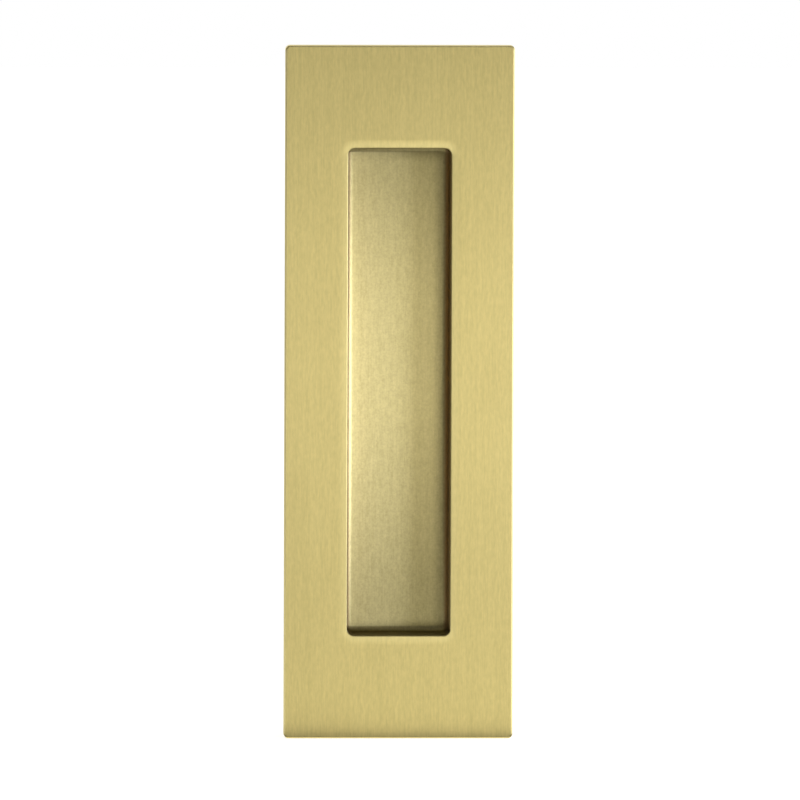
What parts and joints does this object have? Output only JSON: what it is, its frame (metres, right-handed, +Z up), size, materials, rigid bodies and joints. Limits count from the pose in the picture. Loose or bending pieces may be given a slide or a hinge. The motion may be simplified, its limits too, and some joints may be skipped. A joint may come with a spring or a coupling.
{
  "type": "pocket door pull",
  "caption": "Rectangular flush pull for a sliding pocket door: a flat face plate with a soft-lipped finger opening and a closed cup behind it, in satin brass.",
  "frame": {"origin": "centre of the plate's back, in the plane that lies on the door's face", "axes": "+Z up the door along the pull's length, +X across the width, +Y into the door, so the front looks towards -Y"},
  "size_m": [0.05, 0.0125, 0.1516],
  "materials": {
    "satin_brass": "satin, brushed along the length"
  },
  "bodies": {
    "root": {"flush_pull": "satin_brass"}
  },
  "joints": []
}
